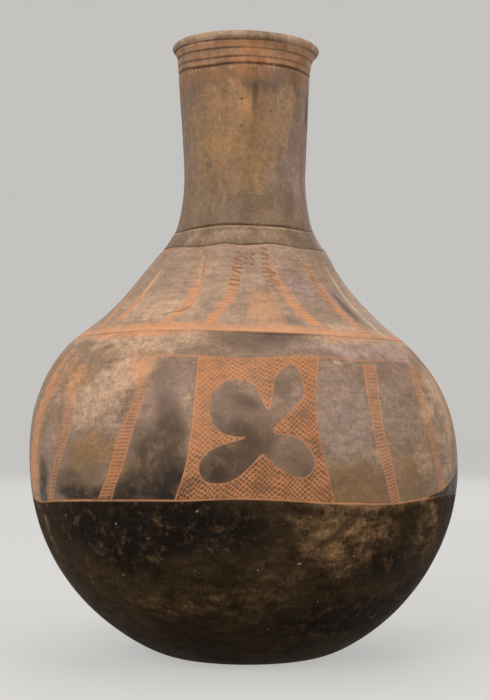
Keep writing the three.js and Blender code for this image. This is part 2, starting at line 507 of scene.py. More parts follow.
# The bands of the belly, from the left: sides or middle lines
BAND_L1_LEFT = [
    (-37.9, 77.8), (-35.3, 84.9), (-33.4, 92.1), (-31.7, 100.3), (-29.9, 107), (-28.3, 113.2),
    (-27.2, 120), (-27.2, 125.4), (-27.6, 134.5),
]
BAND_L1_RIGHT = [
    (-33.9, 77.8), (-31.8, 85), (-29.7, 92.2), (-28.3, 99.3), (-27.2, 105.6), (-25.7, 113.3),
    (-24.8, 119.1), (-24.6, 125.5), (-23.4, 134.5),
]
BAND_L1_MIDDLE = [(-35.9, 77.8), (-33.5, 85), (-31.5, 92.1), (-30.0, 100)]
BAND_L2_LEFT = [
    (-61.1, 77.2), (-56.9, 87.8), (-53.6, 96.7), (-51.4, 105.7), (-52.2, 114.6), (-54.8, 123.6),
]
BAND_L2_RIGHT = [
    (-57.7, 77.1), (-53.9, 87.8), (-50.8, 96.7), (-48, 106.5), (-48, 114.6), (-49.6, 122.6),
]
EDGE_L3 = [
    (-66.4, 76.8), (-67.6, 78.6), (-66.8, 88), (-66.9, 99.2), (-65.5, 105.8), (-62.5, 114.7),
    (-60.5, 122.3), (-59.5, 126.4),
]
EDGE_L3_FAR = [
    (-75, 76.8), (-75.2, 78.6), (-75, 88), (-74, 99.2), (-72.5, 105.8), (-69.5, 114.7),
    (-66.5, 122.3), (-65.5, 126.4),
]
BAND_R1_LEFT = [
    (39.0, 77), (37.4, 84.5), (36.1, 90.7), (34.7, 97.4), (33.8, 105.4), (33.9, 112), (34.4, 121.8),
    (36.8, 133),
]
BAND_R1_RIGHT = [
    (41.9, 77), (41.1, 80.7), (39.6, 87.4), (38.2, 96.4), (36.9, 105.3), (36.9, 111.5), (38.1, 121.8),
    (41.2, 133),
]
BAND_R2 = [
    (61.4, 79), (58.9, 86.3), (57.2, 96.6), (55.8, 104.9), (55.6, 113.2), (55.6, 121.1), (59.8, 132.9),
]
BAND_R3 = [(76, 86), (76.6, 94.8), (75.4, 102.1), (74.1, 112.2), (74.6, 119.8), (78, 131)]
RISING_STROKE = [(50, 77), (55.4, 78.5), (60, 79.5), (65.6, 81.7), (70.4, 84.5), (73.5, 88), (75, 92)]
L1_FADE = [(77, 1), (100, 1), (114, 0.75), (124, 0.3), (134.5, 0.2)]
L2_FADE = [(77, 1), (96, 0.8), (112, 0.4), (124, 0)]
R1_SLANT = [(77, 1.6), (104, 1.2), (108, 0), (134, 0)]
R2_FADE = [(79, 0.7), (100, 0.55), (133, 0.8)]

# Darker under the rising stroke, and its soft end round the side: sides, softness, fade
DARK_CORNERS = [
    ((RISING_STROKE, [(88, 77), (85, 85), (80, 92)]), 1.2, [(77, 1), (83, 0.9), (92, 0.1)]),
    (([(66, 77), (76, 84), (80, 92)], [(106, 77), (95, 84), (86, 92)]), 9.0, [(77, 1), (83, 0.8), (92, 0)]),
]


def engrave_belly(wall):
    """The belly wall: two hatched panels, each between three ladder bands a side."""
    l1, l2 = (BAND_L1_LEFT, BAND_L1_RIGHT), (BAND_L2_LEFT, BAND_L2_RIGHT)
    r1, r2, r3 = (BAND_R1_LEFT, BAND_R1_RIGHT), rails(BAND_R2, 2.3), rails(BAND_R3, 3.4)
    for index, turn in enumerate(TURNS):
        seed = 40 * index
        hatch_panel(wall, turn, 11 + index)
        ladder(wall, *l1, turn, seed + 31, haze=0.8, fade=L1_FADE)
        wall.fill(*l1, turn, 4.5, [(77, 0), (106, 0), (122, 1), (135, 1)], haze=0.75)
        wall.stroke(BAND_L1_MIDDLE, turn, 0.5, 0.25, bare=0.7)
        ladder(wall, *l2, turn, seed + 32, bare=0.75, haze=0.6, fade=L2_FADE)
        wall.fill(*l2, turn, 2.5, [(90, 0), (104, 0.9), (124, 0.7)], haze=0.7)
        wall.stroke(EDGE_L3, turn, 0.66, bare=0.95)
        l3_fade = [(77, 0.2), (86, 0.7), (127, 1)]
        wall.fill(EDGE_L3_FAR, EDGE_L3, turn, 3.0, l3_fade, haze=0.95, rust=0.45)
        ladder(wall, *r1, turn, seed + 33, bare=0.72, haze=0.5, slant=R1_SLANT)
        wall.fill(*r2, turn, 2.0, [(79, 0.6), (133, 1)], haze=0.7, rust=0.6)
        ladder(wall, *r2, turn, seed + 34, haze=0.6, bare=0.8, fade=R2_FADE, slant=[(77, 1), (134, 0)])
        wall.fill(*r3, turn, 2.2, [(86, 0.5), (131, 1)], haze=0.8, rust=0.6)
        for corner, soft, fade in DARK_CORNERS:
            wall.fill(*corner, turn, soft, fade, smoke=0.9, soot=0.8)
        wall.stroke(RISING_STROKE, turn, 0.6, bare=0.9)


# Bands that fan down the shoulder: the middle line of each, and its half width
SHOULDER_BANDS = [
    ([(-53.4, 145.4), (-52.6, 155), (-51.6, 165), (-50.6, 176)], 2.4),
    ([(-30.8, 145.4), (-24.8, 150.5), (-21.8, 156), (-20.2, 165.8), (-21.6, 174), (-24.4, 183)], 2.3),
    ([(-11.4, 145.4), (-7.4, 154), (-3.9, 161.5), (-2.7, 167), (-2.0, 173), (-1.4, 183.4)], 2.3),
    ([(32.0, 145.4), (26.2, 152.5), (21.5, 163.1), (17.9, 171.4), (15.1, 177.5), (12.8, 183.6)], 2.5),
    ([(48.5, 145.4), (45.0, 156.8), (42.6, 168.1), (41.4, 178.6)], 2.5),
    ([(67.0, 145.4), (70.0, 156.4), (66.6, 167.5), (63.2, 180)], 1.0),
    ([(106.0, 173), (113, 160), (121.2, 146.2)], 1.6),
]

# Chalky lines, the first one also a painted highlight along its band: path, width, share and fade
CHALK_AND_HIGHLIGHT_LINES = [
    (SHOULDER_BANDS[0][0], 1.8, 0.7, [(145, 0), (158, 0.1), (166, 1), (172, 0.7), (176, 0)]),
    ([(59.3, 145.4), (59.2, 153), (58, 160), (59.4, 168), (61, 177)], 3.2, 0.75,
     [(145, 0.7), (153, 1), (168, 1), (175, 0.6), (180, 0)]),
    (SHOULDER_BANDS[1][0][3:], 1.2, 0.4, [(165, 0), (172, 1), (178, 0.6), (183, 0)]),
]

# Chalky spots right of the neck's foot: their number, and spans of azimuth, height and size
CHALK_SPOTS = 26
CHALK_SPANS = ((29, 47), (178, 183.5), (0.4, 0.8))

SHOULDER_CRACK = [(-29.5, 152.2), (-26, 153.6), (-23, 153.8), (-20, 155.6)]

# The combed fan: its sides, its lines, and the fades of bands, lines and haze
FAN_LEFT = [(2.7, 145.4), (4.1, 155), (4.9, 163.7)]
FAN_RIGHT = [(17.6, 145.4), (17.2, 155), (16.4, 163.7)]
FAN_LINES = 10
FAN_FADE = [(145, 1), (160, 0.9), (168, 0.6), (178, 0.15), (186, 0)]
COMB_FADE = [(145, 0.9), (158, 0.8), (164, 0.1)]
COMB_HAZE_FADE = [(145, 0.7), (156, 1), (162, 0.7), (164, 0)]


def engrave_cone(wall):
    """The shoulder: narrow ladder bands that fan down from the neck, and a combed fan."""
    for index, turn in enumerate(TURNS):
        for number, (centre, half_width) in enumerate(SHOULDER_BANDS):
            sides = rails(sorted(centre, key=lambda point: point[1]), half_width)
            wall.fill(*sides, turn, 1.8, FAN_FADE, haze=1.3, rust=0.05)
            seed = 90 + 9 * index + number
            ladder(wall, *sides, turn, seed, bare=0.62, haze=0.2, rust=0.05, fade=FAN_FADE, dark=0.14)
        # Chalky lines; the one along the first band also paints a highlight
        for path, width, share, fade in CHALK_AND_HIGHLIGHT_LINES:
            wall.stroke(path, turn, width, 0.1, fade, chalk=share)
        wall.stroke(SHOULDER_CRACK, turn, 0.6, 0.3, shade=0.75)
        wall.fill(FAN_LEFT, FAN_RIGHT, turn, 2.2, COMB_HAZE_FADE, haze=0.75)
        for share in np.linspace(0, 1, FAN_LINES):
            comb = [(a0 + (a1 - a0) * share, h0) for (a0, h0), (a1, _) in zip(FAN_LEFT, FAN_RIGHT)]
            wall.line(turned_by(comb, turn), 0.5, 0.2, COMB_FADE, bare=0.55)
        dark_rungs(wall, turn, 400 + index)
    rng = np.random.default_rng(33)
    for _ in range(CHALK_SPOTS):
        place = [rng.uniform(*span) for span in CHALK_SPANS]
        wall.pit(*place, 0.1, chalk=rng.uniform(0.3, 0.8))
    wall.ring(CONE_JOINT - 0.9, 0.8, 0, COLLAR_LOW_STRENGTH, 6, bare=0.28)
    wall.ring(CONE_JOINT - 1.2, 1.3, 0, RED_EDGE_STRENGTH, 7, bare=0.8, rust=1)
    wall.ring(BAND_JOINT + 0.6, 3.6, 0, LEDGE_STRENGTH, 5, bare=1.0, haze=1.0, chalk=0.1)
    wall.ring(BAND_JOINT + 1.8, 4.2, 0, LEDGE_STRENGTH, 5, haze=1.0)


# Short dark rungs below the neck: azimuth at the low and high ends, width, and both heights
RUNG_COLUMNS = [
    (-19.7, -23.6, 2.5, 170.5, 182.5), (-2.6, -0.9, 4.2, 163.5, 181.5), (3.2, 3.2, 1.7, 174, 181),
    (6.6, 6.5, 1.8, 173.5, 181.5), (14.8, 14.2, 3.8, 163.5, 183), (18.4, 17.0, 3.2, 163.5, 174),
    (41.8, 41.6, 3.0, 159, 177),
]


def dark_rungs(wall, turn, seed):
    """Short deep rungs where the bands start below the neck."""
    rng = np.random.default_rng(seed)
    for low_at, high_at, width, low, high in RUNG_COLUMNS:
        height = low
        while height < high:
            share = (height - low) / (high - low)
            at = low_at + (high_at - low_at) * share
            drop = rng.uniform(-0.8, 0)
            half = angle_of(width / 2, height) * rng.uniform(0.55, 1.05)
            weight = rng.uniform(0.6, 1.0) * smooth(-0.1, 0.15, share) * (0.6 if abs(at) > 18 else 1)
            wall.line(
                [(at + turn - half, height - drop), (at + turn + half, height + drop)],
                1.0, 0.5 * weight, shade=0.6 * weight, bare=0.8 * weight, rust=1.0)
            height += rng.uniform(1.5, 2.8)


# How hard the rings are pressed, as azimuth and share
LOWER_LINE_STRENGTH = twice([(-72, 0.1), (-67, 0.9), (-60, 1), (44, 1), (53, 0.75), (60, 0.1), (90, 0)])
PANEL_TOP_STRENGTH = twice([
    (-75, 0.5), (-60, 0.6), (-40, 0.25), (-28, 0.5), (-18, 0.9), (20, 0.95), (40, 0.8), (60, 0.5),
    (90, 0.1),
])
LEDGE_STRENGTH = [
    (-75, 0.75), (-40, 0.9), (-10, 0.8), (10, 1), (30, 0.95), (60, 0.8), (90, 0.6), (180, 0.7),
]
BAND_WARMTH = [
    (-80, 0.8), (-40, 1), (-14, 0.8), (-3, 0.4), (4, 0.1), (20, 0.1), (26, 0.5), (32, 1), (50, 0.9),
    (70, 0.6), (100, 0.4), (180, 0.6),
]
BAND_ORANGE = [
    (-80, 1), (-50, 1), (-20, 0.75), (0, 0.2), (4, 0), (26, 0), (32, 0.3), (60, 0.5), (90, 0.7),
    (180, 0.4),
]
# How deep the undercut is cut round the vessel, and how dark the painted shadow in it is
UNDERCUT_STRENGTH = [
    (-60, 0.15), (-20, 0.1), (1, 0.3), (6, 1), (19, 1), (23, 0.35), (60, 0.2), (180, 0.4),
]
COLLAR_LOW_STRENGTH = [(-70, 0.5), (-50, 0.8), (-10, 1), (20, 0.9), (38, 0.4), (60, 0.3), (180, 0.7)]
COLLAR_HIGH_STRENGTH = [(-70, 0.6), (-45, 0.9), (0, 1), (40, 0.95), (60, 0.5), (180, 0.8)]
RED_EDGE_STRENGTH = [(-75, 0), (-62, 1), (-55, 1), (-48, 0), (90, 0)]

# The ring at a joint, cut in both sections: half width, depth, strength, seed and shares
JOINT_RINGS = {
    BOWL_JOINT: (0.6, 0.28, LOWER_LINE_STRENGTH, 3, {"bare": 1.0}),
    BELLY_JOINT: (0.6, 0.25, PANEL_TOP_STRENGTH, 4, {"bare": 1.0}),
    CONE_JOINT: (0.75, 0.7, COLLAR_LOW_STRENGTH, 6, {"shade": 0.75}),
    COLLAR_JOINT: (0.75, 0.7, COLLAR_HIGH_STRENGTH, 8, {"shade": 0.9}),
    NECK_JOINT: (0.8, 0.7, None, 9, {"shade": 0.85}),
}


def engrave_band(wall):
    """The plain band between the panels' upper line and the ledge, undercut at the ledge, with painted
    shadow in the undercut.
    """
    wall.ring(BAND_JOINT, 10, 0, BAND_WARMTH, 12, pale=1.0)
    wall.ring(BAND_JOINT, 8, 0, BAND_ORANGE, 13, orange=0.75)
    # The undercut: a real groove, darkened with painted shadow under the ledge
    wall.ring(BAND_JOINT - 0.5, 1.2, 0.75, UNDERCUT_STRENGTH, 7, shade=0.9)
    wall.ring(BAND_JOINT, 0.7, 0.1, LEDGE_STRENGTH, 5, bare=0.55)


BOWL_PITS = [(-11.2, 72.5, 0.7), (14.4, 51, 0.8), (-33.5, 67.3, 0.5), (2, 76, 0.4)]


def engrave_bowl(wall):
    """The lower bowl, with a few pale pits."""
    for azimuth, height, size in BOWL_PITS:
        wall.pit(azimuth, height, size, 0.15, chalk=1.0)


def engrave_collar(wall):
    """The collar, paler just below the neck."""
    wall.ring(COLLAR_JOINT - 1.1, 0.7, 0, COLLAR_HIGH_STRENGTH, 8, pale=0.5)


NECK_PITS = [
    (-2.2, 249.8, 0.9), (-2.8, 238, 0.8), (24, 245, 0.6), (120, 240, 0.9), (-130, 222, 0.9),
    (170, 210, 0.8),
]
NECK_TOP_WARMTH = [(-90, 0.5), (-40, 0.35), (-10, 0.7), (14, 0.5), (30, 0.3), (70, 0.5), (180, 0.3)]
NECK_DENT_STEP = 4.3
NECK_SCRATCH = [(-16, 208), (-6, 206.6), (8, 207.4), (19, 206.9)]


def engrave_neck(wall):
    """The plain neck between its lower ring and the rings under the lip."""
    for azimuth, height, size in NECK_PITS:
        wall.pit(azimuth, height, size, 0.35, shade=0.8)
    rng = np.random.default_rng(21)
    for azimuth in np.arange(-180, 180, NECK_DENT_STEP):
        at = azimuth + rng.uniform(-1, 1)
        faint = rng.uniform(0, 0.5)
        height = NECK_JOINT - 1.2 + rng.uniform(-0.4, 0.4)
        wall.pit(at, height, rng.uniform(0.6, 1.1), 0.12, chalk=faint)
    wall.stroke(NECK_SCRATCH, 0, 0.4, 0.15, shade=0.4)
    wall.ring(NECK_JOINT - 1.5, 9, 0, NECK_TOP_WARMTH, 71, haze=1.2, rust=1.0)


RIM_RINGS = (268.3, 271.9, 275.0)
RIM_RIDGES = (266.9, 270.1, 273.6)
RIM_PRESSURE = [(-70, 1), (-20, 1), (15, 0.6), (60, 0.7), (180, 0.9)]
RIM_WARMTH = [(-90, 0.4), (-50, 0.7), (-20, 0.6), (8, 1), (60, 0.8), (180, 0.5)]
RED_PATCHES = [
    (8, 270.5, 5), (14, 267, 4), (-48, 270, 5), (34, 272, 5), (52, 267, 5), (60, 270, 4), (150, 270, 6),
]


def engrave_rim(wall):
    """The rings under the lip, with orange clay on the ridges between them."""
    for seed, height in enumerate(RIM_RINGS, 60):
        wall.ring(height, 0.62, 0.5, RIM_PRESSURE, seed, shade=0.62, rust=1.0)
    for height in RIM_RIDGES:
        wall.ring(height, 2.6, 0, RIM_WARMTH, 70, haze=1.2, rust=0.5)
    for azimuth, height, size in RED_PATCHES:
        wall.pit(azimuth, height, size, 0, haze=1.0, rust=1.0)


# Clouds of the firing, a few of them painted shade as marked below: azimuth, height, half
# width, half height, strength, and slant where it isn't level
CLOUDS = {
    "tan": [
        (-4, 238, 36, 42, 0.45), (-6, 240, 19, 34, 0.5), (38, 248, 7, 13, 0.4), (-20, 262, 16, 7, 0.4),
        (-15.6, 115, 4, 3, 0.8), (-45, 84, 12, 5, 0.45), (56, 102, 12, 10, 0.4), (-52, 123, 14, 9, 0.8),
        (-50, 138, 34, 5, 0.5), (-40, 97, 13, 7, 0.9, 10), (-32, 92, 8, 10, 0.7), (-57, 110, 6, 8, 0.6),
        (-17, 67, 2.6, 1.4, 0.6, 10), (-18, 59, 2.4, 1.1, 0.5, 15), (-13, 65, 1.8, 1.1, 0.5),
        (27, 64, 9, 6, 0.3), (14, 69, 8, 4, 0.25), (20, 60, 8, 6, 0.2), (24, 54, 5, 7, 0.3),
        (170, 225, 20, 30, 0.8), (150, 110, 25, 14, 0.6), (-120, 150, 30, 12, 0.6), (66, 126, 9, 8, 0.6),
        (78, 116, 8, 22, 0.6), (-72, 128, 12, 12, 0.7), (72, 138, 22, 6, 0.6), (-58, 150, 10, 5, 0.4),
        (44, 90, 10, 5, 0.5), (28, 88, 12, 5, 0.4), (-100, 90, 30, 10, 0.5), (110, 128, 26, 10, 0.6),
    ],
    "olive": [
        (28, 82, 20, 10, 1.0), (46, 83, 13, 8, 0.6), (18, 104, 5, 10, 0.3), (27, 67, 22, 13, 0.45),
        (18, 58, 12, 14, 0.3, 25), (56, 70, 14, 8, 0.35), (39, 67, 12, 10, 0.3), (29, 53, 10, 9, 0.25),
        (8, 40, 18, 14, 0.2), (33, 46, 14, 10, 0.18), (58, 62, 12, 14, 0.3), (62, 48, 10, 12, 0.15),
        (-66, 52, 8, 14, 0.25, -25), (-50, 40, 16, 9, 0.16, -15), (-25, 33, 22, 10, 0.25),
        (-4, 33, 20, 10, 0.25), (-44, 90, 13, 12, 0.6), (140, 85, 40, 16, 0.7), (-150, 60, 30, 16, 0.35),
        (170, 40, 34, 14, 0.35), (24, 250, 8, 16, 0.3), (12, 201, 6, 4, 0.5), (-14, 216, 12, 10, 0.3),
        (-66, 66, 6, 10, 0.5), (20, 82, 8, 6, 0.4), (-118, 112, 22, 14, 0.5),
    ],
    "grey": [
        (-17.6, 122, 9, 13, 0.9), (26.5, 119, 14, 15, 1.0), (26, 104, 13, 12, 1.0), (44, 114, 11, 18, 0.8),
        (64, 118, 2.0, 7, 0.4), (12, 121, 8, 13, 0.7), (-1.5, 114, 12, 12, 0.5), (-3, 120, 4, 3, 0.5),
        (12, 92, 9, 8, 0.5), (-21, 159, 10, 8, 0.5), (-43, 166, 11, 7, 0.4), (17, 150, 9, 5, 0.9),
        (8, 152, 4, 5, 0.3), (29, 165, 11, 14, 1.0, 20), (51, 162, 10, 10, 0.8), (46, 152, 8, 6, 0.5),
        (-66, 235, 12, 36, 0.3), (76, 229, 16, 46, 0.8), (50, 231, 10, 13, 0.7), (44, 212, 16, 14, 0.4),
        (0, 205, 14, 7, 0.2), (-36, 207, 8, 8, 0.3), (23, 262, 6, 3, 0.3), (-55, 270, 16, 7, 0.4),
        (44, 279, 20, 4, 0.7), (40, 139, 26, 7, 0.7), (100, 115, 40, 26, 0.7), (-165, 118, 36, 16, 0.7),
        (-110, 170, 16, 12, 0.8), (130, 165, 18, 14, 0.8), (180, 200, 20, 12, 0.6), (-35, 190, 14, 4, 0.4),
        (-58, 96, 7, 12, 0.7), (-34, 107, 5, 5, 0.9), (-47, 105, 5, 6, 0.9), (-58, 102, 5, 7, 0.8),
        (60, 93, 7, 6, 0.7), (-30, 98, 5, 9, 0.6), (-22, 108, 10, 12, 0.6), (2, 176, 14, 10, 0.6),
    ],
    "pale": [
        (-41, 114, 20, 13, 0.62), (-34.5, 124, 14, 9, 0.5), (-58, 120, 14, 10, 0.35),
        (-30.6, 129, 18, 7, 0.8), (-32, 140, 40, 9, 0.6), (-62, 140, 16, 6, 0.3), (-38, 156, 26, 14, 0.9),
        (-8.5, 172, 12, 9, 0.3), (40, 149, 12, 5, 0.7), (22, 176, 9, 8, 0.3), (68, 116, 12, 20, 0.68),
        (42, 249, 7, 12, 0.35), (46, 140, 34, 7, 0.5), (70, 117, 8, 12, 0.6), (56, 110, 9, 10, 0.4),
        (66, 92, 8, 12, 0.3), (0, 278.6, 36, 3.2, 0.4), (-50, 277, 20, 4, 0.5), (60, 279, 20, 3.5, 0.6),
        (0, 190, 200, 7, 0.22), (-30, 190, 30, 4, 0.2), (62, 137, 16, 5, 0.35), (50, 92, 9, 8, 0.4),
        (66, 88, 8, 9, 0.3), (34, 95, 8, 8, 0.3), (57, 112, 9, 9, 0.45), (61, 100, 8, 6, 0.4),
        (28.5, 132.6, 2.4, 1.6, 0.9), (-130, 125, 26, 14, 0.8), (-14, 116, 3, 2.6, 0.6),
        (-6.4, 121, 2.4, 3, 0.35), (-100, 140, 40, 8, 0.8), (160, 142, 30, 7, 0.6), (140, 175, 18, 12, 0.6),
        (-20, 111, 7, 5, 0.5),
    ],
    "mauve": [
        (-43, 162, 14, 13, 0.3), (-20, 158, 9, 8, 0.25), (29, 165, 12, 14, 0.4, 20), (46, 163, 12, 12, 0.5),
        (46, 138, 36, 8, 0.6), (-17.6, 128, 9, 6, 0.3), (10, 140, 26, 6, 0.45), (12, 122, 8, 9, 0.2),
        (74, 229, 8, 34, 0.25), (-70, 235, 6, 26, 0.3), (160, 160, 24, 12, 0.6), (-130, 112, 26, 14, 0.4),
        (-80, 139, 20, 6, 0.4),
    ],
    "orange": [
        (-67, 118, 7, 24, 0.8, -12), (-71, 95, 7, 22, 0.95), (6, 265, 14, 3, 0.25), (9, 270, 6, 4, 0.5),
        (-28, 128, 8, 10, 0.55), (-50, 124, 8, 6, 0.5), (-56, 129, 14, 5, 0.4), (-40, 131, 16, 4, 0.3),
        (82, 116, 7, 26, 0.8), (66, 104, 4, 10, 0.3), (70, 129, 8, 5, 0.3), (-26, 147, 34, 3.0, 0.6),
        (-6, 240, 10, 22, 0.12), (82, 98, 5, 22, 0.7), (-55, 103, 6, 6, 0.35), (36, 143.5, 22, 2, 0.3),
        (-40, 143, 30, 2.4, 0.25), (-5, 253, 9, 9, 0.28),
    ],
    "smoke": [
        (-48, 82, 18, 8, 0.65), (-38, 88, 6, 7, 0.3), (-5, 89, 13, 9, 1.0), (0, 98, 11, 10, 0.75),
        (3, 103, 8, 8, 0.4), (-18, 106, 8, 18, 0.45), (-22, 92, 17, 17, 0.85), (-17, 97, 6, 20, 0.6),
        # The cloud at 14 degrees and 142.5 mm is painted shadow under the ledge
        (4, 140.5, 27, 6, 0.55), (14, 142.5, 13, 3, 0.3), (-58, 139.8, 12, 3.0, 0.42, 6),
        (-53, 139.2, 7, 2.2, 0.25, 15), (-45, 137.8, 6, 3.6, 0.42, 25), (-42, 138.6, 3, 2, 0.3),
        (-62, 86, 8, 9, 0.8), (8.5, 254, 2.0, 9, 0.5), (14, 248, 8, 16, 0.25), (8, 262.5, 4, 1.6, 0.5),
        (-2, 262, 46, 8, 0.6), (1, 204, 13, 6, 0.32), (40, 206, 12, 10, 0.36), (49, 230, 7, 13, 0.35),
        # The cloud at 84 degrees and 240 mm is painted shade down the neck's right side
        (-58, 232, 12, 28, 0.22), (84, 240, 6, 26, 0.7), (53, 158, 5, 11, 0.6, 20),
        # The cloud at 17 degrees and 150 mm is painted shade at the ledge
        (50, 164, 3, 5, 0.3, 20), (17, 150, 7, 4, 0.35), (44, 146, 3, 2, 0.4), (112, 96, 30, 12, 0.5, 8),
        (100, 86, 22, 7, 0.4), (-140, 90, 36, 16, 0.8, -6), (-99, 117, 20, 8, 0.4, 14),
        (-89, 103, 15, 7, 0.4, -8), (180, 125, 30, 10, 0.7), (150, 232, 16, 20, 0.7),
        (-110, 215, 14, 16, 0.6), (-160, 165, 22, 12, 0.8), (170, 140, 22, 5, 0.6), (10, 125, 8, 9, 0.45),
        (-2, 113, 14, 14, 0.42), (1, 117, 5, 4, 0.3, -20), (-5, 109, 3, 4, 0.3), (14, 90, 4, 3, 0.25),
        (12, 94, 10, 9, 0.5), (-19, 127, 10, 9, 0.4),
    ],
    "soot": [
        (-25, 78, 22, 12, 0.65), (-15, 82, 9, 16, 0.75), (-31, 79, 6, 6, 0.4), (-44, 79, 24, 5, 0.75),
        (-62.7, 80, 8, 7, 0.8), (-38, 64, 34, 13, 1.0), (-14, 64, 32, 13, 1.0), (-32, 52, 30, 9, 0.7),
        # The cloud at 40 degrees and 24 mm is soot and also painted shade on the bowl's lower right
        (2, 62, 10, 10, 0.5), (0, 12, 60, 10, 0.4), (40, 24, 50, 16, 0.95), (-7, 88, 6, 5, 0.5),
        (25, 66, 8, 3, 0.5, 35), (42, 49, 20, 8, 0.9, 20), (60, 36, 16, 14, 0.5), (66, 72, 6, 8, 0.5),
        (-100, 60, 40, 20, 0.8), (180, 62, 50, 16, 0.9), (100, 52, 26, 16, 0.7), (190, 84, 18, 7, 0.8),
    ],
    "worn": [
        (-3, 121, 7, 3, 0.4, 10), (1, 110, 6, 3, 0.3), (12, 118, 3, 6, 0.35), (10, 96, 7, 3, 0.35, -20),
        (-4, 112, 4, 3, 0.35, 30), (-6, 92, 5, 2.0, 0.12, 20), (9, 107, 4, 4, 0.45),
        (-22.5, 89, 2.2, 8, 0.32, 4), (-25.5, 83, 2.4, 4, 0.3, -10), (-19.3, 86, 1.8, 5, 0.3, 6),
        (-21, 97, 5, 4, 0.4, 20), (-27, 93, 4, 6, 0.45, 10), (-17.5, 91, 3, 4, 0.25),
        (-25, 104, 7, 5, 0.45), (-48, 83, 4, 3, 0.4), (-42, 81, 4, 3, 0.35, 20), (-52, 85, 4, 3, 0.4),
        (-14.5, 98, 2, 4, 0.4), (-18, 118, 3, 3, 0.4), (-20, 128, 4, 2, 0.4), (-8, 58, 7, 3, 0.25),
        (-42, 56, 8, 5, 0.25), (150, 88, 8, 5, 0.5), (-155, 92, 5, 9, 0.5), (-170, 60, 12, 5, 0.3),
        (100, 60, 14, 5, 0.3),
    ],
}


# Share of an unrolled strip that the outside takes, and the margins round a strip
OUTER_SHARE = 0.8
STRIP_END = 0.002
STRIP_SIDE = 0.01

# Unevenness from shaping by hand: size, seed and scale
HAND_WAVES = ((0.24, 77, 60), (0.07, 78, 13))

# How much smoke the unseen inside carries
INSIDE_SMOKE = 0.8

# Edges that turn by more than this many degrees stay sharp
SHARP_ANGLE = 55

# Rows of points on the rim and on the base disc, and the radius of the hole round its axis
RIM_ROWS = 52
LIP_ROWS = 44
FOOT_EDGE_ROWS = 14
FOOT_ROWS = 24
FLOOR_CURVE_ROWS = 8
FLOOR_ROWS = 10
INSIDE_ROWS = 5
POLE_RADIUS = 0.6


def azimuth_columns(count):
    """Evenly spaced columns round the vessel, the first one at the back, in radians."""
    return -math.pi + 2 * math.pi * np.arange(count) / count


def show(data):
    """An object in the scene with the name of its data."""
    item = bpy.data.objects.new(data.name, data)
    bpy.context.scene.collection.objects.link(item)
    return item


def make_mesh(name, points, faces, uvs, values):
    """A mesh object from numbered points, four-cornered faces, corner places and point values."""
    mesh = bpy.data.meshes.new(name)
    mesh.vertices.add(len(points))
    mesh.vertices.foreach_set("co", (points * MM).astype(np.float32).ravel())
    mesh.loops.add(faces.size)
    mesh.loops.foreach_set("vertex_index", faces.astype(np.int32).ravel())
    mesh.polygons.add(len(faces))
    mesh.polygons.foreach_set("loop_start", np.arange(len(faces), dtype=np.int32) * 4)
    mesh.update(calc_edges=True)
    mesh.validate()
    for attribute, value in values.items():
        layer = mesh.attributes.new(attribute, "FLOAT", "POINT")
        layer.data.foreach_set("value", value.astype(np.float32).ravel())
    bake = mesh.uv_layers.new(name="OFBake")
    bake.data.foreach_set("uv", uvs.astype(np.float32).ravel())
    mesh.polygons.foreach_set("use_smooth", np.ones(len(mesh.polygons), bool))
    mesh.set_sharp_from_angle(angle=math.radians(SHARP_ANGLE))
    return show(mesh)


def strip_places(columns, outer_count, inner_count, strips):
    """Corner places of a ring that is cut into strips lying above each other."""
    rows = np.concatenate([
        np.linspace(0, OUTER_SHARE, outer_count),
        np.linspace(OUTER_SHARE, 1, inner_count + 2)[1:],
    ])
    column = np.arange(columns)
    strip = np.floor(column * strips / columns)
    rows = STRIP_SIDE + (1 - 2 * STRIP_SIDE) * rows[:, None]
    low, high = ((strip + row) / strips for row in (rows[:-1], rows[1:]))
    left, right = (
        STRIP_END + (1 - 2 * STRIP_END) * (at * strips / columns - strip) + 0 * low
        for at in (column, column + 1)
    )
    return np.stack([left, low, right, low, right, high, left, high], axis=-1)


def ring_piece(name, azimuths, outer, outer_heights, inner, joints, engrave, strips):
    """A closed ring: the engraved outside, the inside, and the bevelled faces of its joints."""
    wall = Outside(azimuths, outer[:, 0, 0], outer_heights)
    for joint in JOINT_RINGS.keys() & set(joints):
        half_width, depth, strength, seed, shares = JOINT_RINGS[joint]
        wall.ring(joint, half_width, depth, strength, seed, **shares)
    engrave(wall)
    for kind, clouds in CLOUDS.items():
        for cloud in clouds:
            wall.cloud(kind, *cloud)
    height = outer_heights[:, None]
    hand = unevenness(HAND_WAVES, azimuths, height) * smooth(FOOT_TOP, FOOT_TOP + 10, height)
    points = np.concatenate([
        turned(outer, azimuths, wall.depth + hand),
        turned(inner, azimuths, 0.0),
    ])
    total, columns = points.shape[:2]
    index = np.arange(total * columns).reshape(total, columns)
    right = np.roll(index, -1, axis=1)
    faces = np.stack([index, right, np.roll(right, -1, axis=0), np.roll(index, -1, axis=0)], axis=-1)
    uvs = strip_places(columns, len(outer), len(inner), strips)
    values = {}
    for share_name, share in wall.shares.items():
        inner_share = INSIDE_SMOKE if share_name == "smoke" else 0.0
        values[share_name] = np.concatenate([share, np.full((len(inner), columns), inner_share)])
    return make_mesh(name, points.reshape(-1, 3), faces.reshape(-1, 4), uvs, values)


def inner_grid(heights, azimuths):
    """The inside of the wall on a grid."""
    moved = strayed(heights, azimuths)
    return wall_rows(moved, through(WALL_STATIONS, moved))


